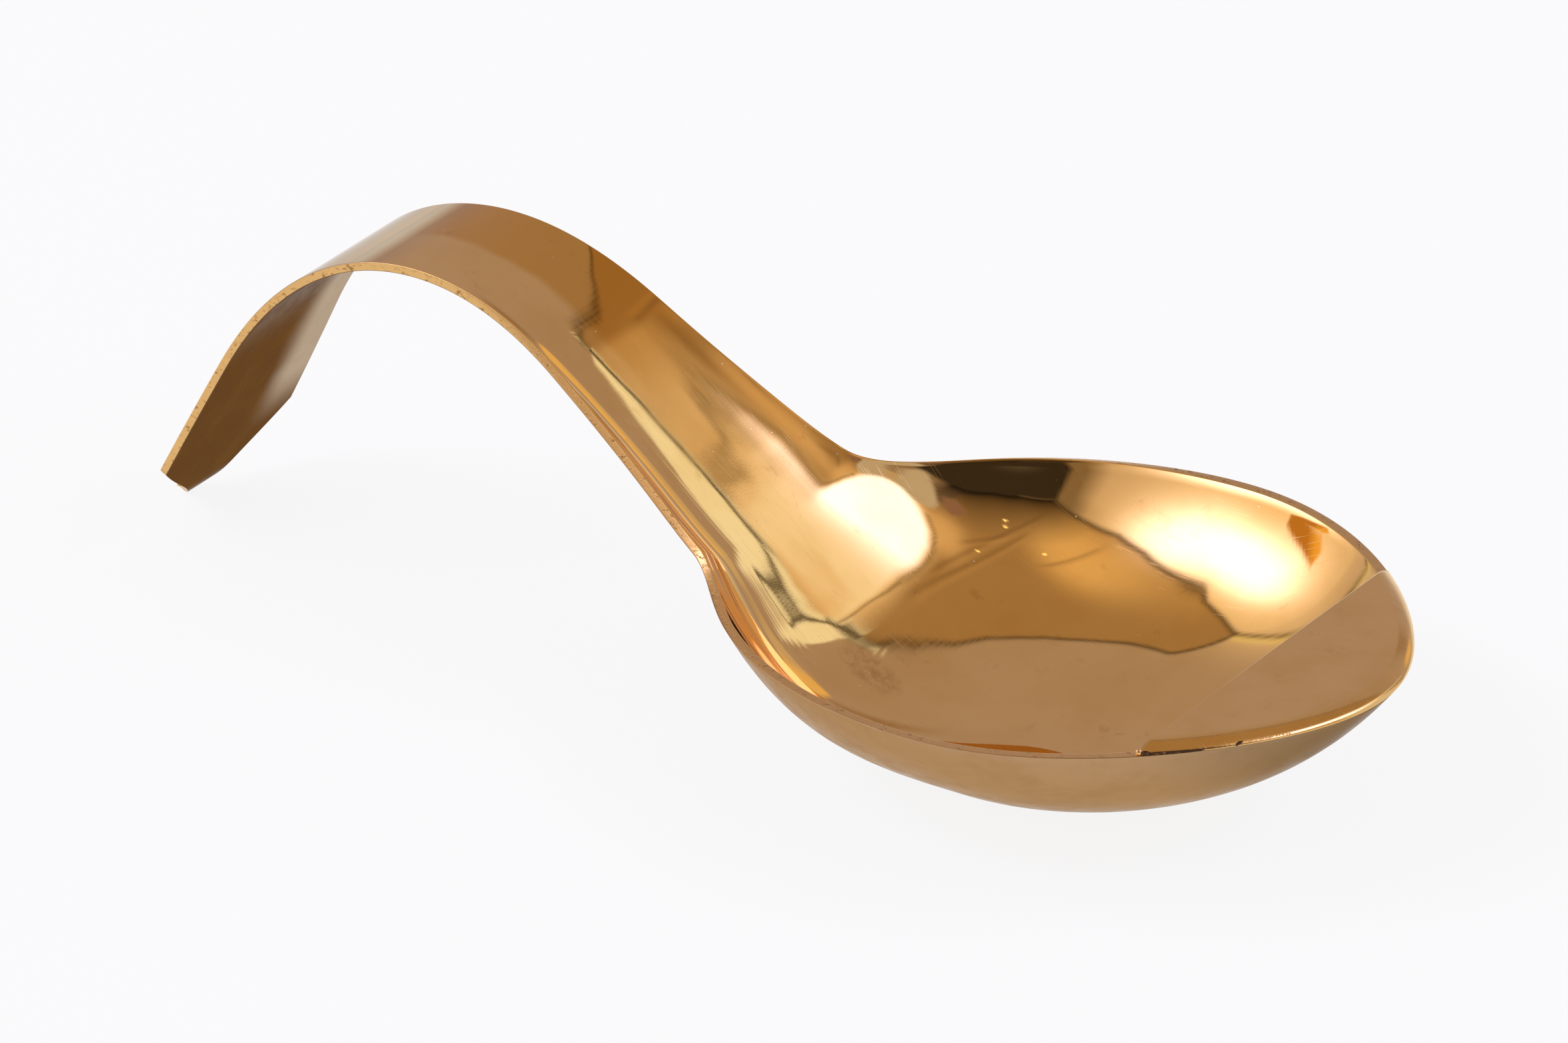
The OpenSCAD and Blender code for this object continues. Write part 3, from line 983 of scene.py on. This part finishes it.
def line_distance(u, v, points):
    best = np.full_like(u, 1e9)
    for (x0, y0), (x1, y1) in zip(points, points[1:]):
        dx, dy = x1 - x0, y1 - y0
        t = clamp(((u - x0) * dx + (v - y0) * dy) / (dx * dx + dy * dy))
        best = np.minimum(best, np.hypot(u - x0 - t * dx, v - y0 - t * dy))
    return best


def depth_inside(u, v, points):
    """Distance to an outline, positive inside it."""
    found = np.zeros(u.shape, bool)
    for (x0, y0), (x1, y1) in zip(points, points[1:] + points[:1]):
        crosses = (y0 > v) != (y1 > v)
        rise = y1 - y0 if y1 != y0 else 1e-9
        found ^= crosses & (u < x0 + (v - y0) * (x1 - x0) / rise)
    return np.where(found, 1, -1) * line_distance(u, v, points + points[:1])


def inside(u, v, points, soft):
    """1 inside an outline and 0 outside it, with a soft edge of a width."""
    return clamp(depth_inside(u, v, points) / soft + 0.5)


def mix(color, other, share):
    return color + (np.array(other) - color) * share[:, None]


def spread(color, places):
    """The same colour for each place."""
    return np.array([color] * len(places))


def bow(start, middle, end):
    """Points along a smooth bow from its start through its middle to its end."""
    t = np.arange(CREASE_STEPS + 1)[:, None] / CREASE_STEPS
    first, second, third = (1 - t) * (1 - 2 * t), 4 * t * (1 - t), t * (2 * t - 1)
    return [tuple(p) for p in first * start + second * middle + third * end]


def creased(color, u, v, crease):
    """A dark crease with a lit side, which fades out at both ends."""
    start, middle, end = (np.array(p) for p in crease)
    points = bow(start, middle, end)
    to_start = np.hypot(u - start[0], v - start[1])
    to_end = np.hypot(u - end[0], v - end[1])
    share = clamp(np.minimum(to_start, to_end) / CREASE_ENDS)
    lit = line_distance(u + 2 * CREASE_WIDTH, v, points) / CREASE_WIDTH
    dark = line_distance(u, v, points) / CREASE_WIDTH
    color = mix(color, CREASE_LIT, 0.35 * share * np.exp(-(lit**2)))
    return mix(color, CREASE_DARK, CREASE_DEPTH * share * np.exp(-(dark**2)))


def wall_light(u, v):
    """Light of the side walls, of what hangs low behind the spoon, and a painted reflection of the
    spoon's own brass.
    """
    turn = np.degrees(np.arctan2(v, u)) % 360
    tilt = np.hypot(u, v)
    color = spread(WALL_BACK, u)
    color[(turn > BACK_LEFT_TURN) & (turn <= LEFT_FRONT_TURN)] = WALL_LEFT
    color[(turn > LEFT_FRONT_TURN) & (turn <= FRONT_RIGHT_TURN)] = WALL_FRONT
    color[(turn > FRONT_RIGHT_TURN) | (turn <= CORNER_TURN)] = WALL_RIGHT
    # Paler towards the ground behind the spoon, the cloth that hangs there, and a painted
    # reflection of the spoon's own brass
    low = clamp((tilt - GROUND_TILT) / 7) * clamp((30 - u) / 10) * clamp(v / 20)
    color = mix(color, GROUND_PALE, low)
    color = mix(color, HANGING_SHADE, 0.95 * glow(u, v, *HANGING_SHADE_SPOT))
    # Painted reflection of the spoon's own brass, warm, fading towards larger u
    cloth = mix(spread(REFLECTION_WARM, u), REFLECTION_FADED, clamp((u - 1) / 4))
    color = mix(color, cloth, inside(u, v, WARM_REFLECTION_PATCH, 1.2))
    # Cooler low behind the right wall
    cool = (turn > COOL_FIRST_TURN) & (turn < COOL_LAST_TURN)
    return mix(color, WALL_COOL, cool * clamp((tilt - COOL_TILT) / 6))


def ceiling_light(u, v):
    color = spread(CEILING, u)
    color = mix(color, CEILING_LIT, 0.78 * glow(u, v, *CEILING_LIT_SPOT))
    color = mix(color, CEILING_SIDE, glow(u, v, *CEILING_SIDE_SPOT))
    for crease in CREASES:
        color = creased(color, u, v, crease)
    return color


def add_left_lamp(color, u, v, ceiling):
    """Lamp behind the left wall, with a painted reflection of the handle before it."""
    color = mix(color, LEFT_HALO, (1 - ceiling) * glow(u, v, *LEFT_HALO_SPOT))
    color = mix(color, LAMP, (1 - 0.7 * ceiling) * glow(u, v, *LEFT_LAMP_SPOT))
    handle = mix(spread(HANDLE_DIM, u), HANDLE_LIT, clamp((-62 - u) / 4))
    return mix(color, handle, inside(u, v, HANDLE_PAINTED_REFLECTION, 1.0))


def add_right_lamp(color, u, v):
    """Lamp behind the right wall, which is sharper and dimmer at the tent's corner."""
    depth = depth_inside(u, v, RIGHT_LAMP)
    halo = clamp(1 + depth / 4) ** 2 * clamp((v + 12) / 8) * clamp((51 - v) / 2)
    color = mix(color, RIGHT_HALO, halo)
    from_corner = np.hypot(u - RIGHT_LAMP_CORNER[0], v - RIGHT_LAMP_CORNER[1])
    light = mix(spread(NEAR_CORNER, u), LAMP_RIGHT, clamp(from_corner / 20) ** 1.4)
    softness = 0.4 + 1.8 * clamp(from_corner / 12)
    return mix(color, light, step(depth / softness + 0.4))


def add_opening(color, u, v, opening, ceiling):
    """Opening for the camera, with a red and a grey cloth beside it."""
    color = mix(color, CLOTH_RED, inside(u, v, RED_CLOTH, 1.5))
    color = mix(color, CLOTH_GREY, inside(u, v, GREY_CLOTH, 1.0))
    beside = (1 - ceiling) * clamp(1.6 + opening / 8) * (u < 30) * (v < -40)
    color = mix(color, OPENING_EDGE, beside)
    color = mix(color, OPENING_DARK, clamp(opening / 1.8 + 0.4))
    return mix(color, OPENING_PALE, 0.7 * glow(u, v, *OPENING_PALE_SPOT))


def add_seams(color, u, v):
    """The cream patch, the dark seams and the yellow line beside the left one."""
    cream = np.maximum(inside(u, v, CREAM_PATCH, 0.3), inside(u, v, CREAM_LINE, 0.2))
    color = mix(color, CREAM, cream)
    corner = CEILING_OUTLINE[0]
    for seam, width, depth in SEAMS:
        # Wide seams narrow down towards the tent's corner
        near = clamp(np.hypot(u - corner[0], v - corner[1]) / 12) if width > NARROW_SEAM else 1.0
        across = line_distance(u, v, seam) / (width * (0.22 + 0.78 * near))
        color = mix(color, SEAM_DARK, depth * np.exp(-(across**2)))
    across = line_distance(u, v - YELLOW_LINE_SIDE, SEAM_BACK_LEFT) / YELLOW_LINE_WIDTH
    return mix(color, YELLOW_LINE, 0.6 * np.exp(-(across**2)))


def tent_light(u, v):
    """Light of the tent for directions given round the zenith."""
    ceiling_edge = depth_inside(u, v, CEILING_OUTLINE)
    ceiling = clamp(ceiling_edge / 0.5 + 0.5)
    color = mix(wall_light(u, v), ceiling_light(u, v), ceiling)
    # Darker overhead towards the opening for the camera
    opening = depth_inside(u, v, CAMERA_OPENING)
    shade = 1 - clamp(-opening / OPENING_SHADE) ** 0.6
    color = color * (1 - shade * clamp(ceiling_edge / 3 + 2))[:, None]
    color = add_left_lamp(color, u, v, ceiling)
    color = add_right_lamp(color, u, v)
    color = add_opening(color, u, v, opening, ceiling)
    for place in GLINTS:
        color = mix(color, GLINT, glow(u, v, place, *GLINT_SIZES))
    return add_seams(color, u, v)


def gathered(low, high, coarse, fine, centre):
    """Grid values with a coarse step, and a fine one near the tent's corner."""
    values = [low]
    while values[-1] < high:
        values.append(values[-1] + (fine if abs(values[-1] - centre) < CORNER_REACH else coarse))
    return np.array(values[:-1])


def tent_cloth():
    """Material that shines with the colours stored in the tent's mesh."""
    material = bpy.data.materials.new("tent_cloth")
    material.use_nodes = True
    material.cycles.emission_sampling = "NONE"
    nodes, links = material.node_tree.nodes, material.node_tree.links
    nodes.clear()
    shine = nodes.new("ShaderNodeEmission")
    attribute = nodes.new("ShaderNodeAttribute")
    attribute.attribute_name = "light"
    output = nodes.new("ShaderNodeOutputMaterial")
    links.new(attribute.outputs["Color"], shine.inputs["Color"])
    links.new(shine.outputs["Emission"], output.inputs["Surface"])
    return material


def make_tent():
    turn = np.radians(gathered(0.0, 360.0, TURN_STEP, TURN_FINE, CORNER_TURN))
    tilt = gathered(TILT_START, DOME_LOWEST, TILT_STEP, TILT_FINE, CORNER_TILT)
    n, m = len(turn), len(tilt)
    tilt, turn = (g.ravel() for g in np.meshgrid(tilt, turn, indexing="ij"))
    t = np.radians(tilt)
    level = np.sin(t)
    points = DOME_RADIUS * np.column_stack([level * np.cos(turn), level * np.sin(turn), np.cos(t)])
    light = tent_light(tilt * np.cos(turn), tilt * np.sin(turn))
    faces = [(i * n + k, i * n + (k + 1) % n, (i + 1) * n + (k + 1) % n, (i + 1) * n + k)
             for i in range(m - 1) for k in range(n)]
    faces.append(tuple(range(n)))
    mesh = bpy.data.meshes.new("light_tent")
    mesh.from_pydata(points.tolist(), [], faces)
    layer = mesh.color_attributes.new("light", "FLOAT_COLOR", "POINT")
    layer.data.foreach_set("color", np.column_stack([light, np.ones(len(light))]).ravel())
    mesh.materials.append(tent_cloth())
    tent = bpy.data.objects.new("light_tent", mesh)
    tent.visible_camera = False
    bpy.context.scene.collection.objects.link(tent)


def seen_directly(nodes, links):
    """1 for camera, glossy and transmission rays."""
    path = nodes.new("ShaderNodeLightPath")
    first = nodes.new("ShaderNodeMath")
    first.operation = "MAXIMUM"
    links.new(path.outputs["Is Camera Ray"], first.inputs[0])
    links.new(path.outputs["Is Glossy Ray"], first.inputs[1])
    second = nodes.new("ShaderNodeMath")
    second.operation = "MAXIMUM"
    links.new(first.outputs[0], second.inputs[0])
    links.new(path.outputs["Is Transmission Ray"], second.inputs[1])
    return second.outputs[0]


FLOOR_COLOR = (0.95, 0.95, 0.95)
FLOOR_WHITE_SHARE = 0.88
FLOOR_SIDES = 96
WORLD_LIGHT = (0.7, 0.7, 0.7)


def pale_floor():
    """Matt material that looks nearly white and still takes the spoon's shadow."""
    material = bpy.data.materials.new("pale_floor")
    material.use_nodes = True
    nodes, links = material.node_tree.nodes, material.node_tree.links
    nodes.clear()
    matt = nodes.new("ShaderNodeBsdfDiffuse")
    matt.inputs["Color"].default_value = (*FLOOR_COLOR, 1)
    white = nodes.new("ShaderNodeEmission")
    share = nodes.new("ShaderNodeMath")
    share.operation = "MULTIPLY"
    share.inputs[1].default_value = FLOOR_WHITE_SHARE
    links.new(seen_directly(nodes, links), share.inputs[0])
    blend = nodes.new("ShaderNodeMixShader")
    links.new(share.outputs[0], blend.inputs[0])
    links.new(matt.outputs[0], blend.inputs[1])
    links.new(white.outputs[0], blend.inputs[2])
    output = nodes.new("ShaderNodeOutputMaterial")
    links.new(blend.outputs[0], output.inputs["Surface"])
    return material


def make_floor():
    turns = [2 * math.pi * k / FLOOR_SIDES for k in range(FLOOR_SIDES)]
    ring = [(DOME_RADIUS * math.cos(a), DOME_RADIUS * math.sin(a), 0) for a in turns]
    mesh = bpy.data.meshes.new("floor")
    mesh.from_pydata(ring, [], [tuple(range(FLOOR_SIDES))])
    mesh.materials.append(pale_floor())
    floor = bpy.data.objects.new("floor", mesh)
    bpy.context.scene.collection.objects.link(floor)


def make_world():
    scene = bpy.context.scene
    scene.view_settings.view_transform = "Standard"
    world = bpy.data.worlds.new("studio")
    scene.world = world
    world.use_nodes = True
    nodes, links = world.node_tree.nodes, world.node_tree.links
    nodes.clear()
    soft = nodes.new("ShaderNodeBackground")
    soft.inputs["Color"].default_value = (*WORLD_LIGHT, 1)
    white = nodes.new("ShaderNodeBackground")
    white.inputs["Color"].default_value = (1, 1, 1, 1)
    blend = nodes.new("ShaderNodeMixShader")
    links.new(seen_directly(nodes, links), blend.inputs[0])
    links.new(soft.outputs[0], blend.inputs[1])
    links.new(white.outputs[0], blend.inputs[2])
    output = nodes.new("ShaderNodeOutputWorld")
    links.new(blend.outputs[0], output.inputs["Surface"])


# The three pieces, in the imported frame
shift = bowl_middle_x(sheet_rows())
spoon = make_spoon([polished_upper(), tarnished_and_shaded_lower(), cut_edge()])
plate = make_plate([satin_plate()], shift)
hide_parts("spoon")
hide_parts("tip_plate")
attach(spoon, "root")
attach(plate, "root")
braze = make_braze([braze_bright(), braze_dark()], shift)
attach(braze, "root")

make_camera(shift)
make_tent()
make_floor()
make_world()
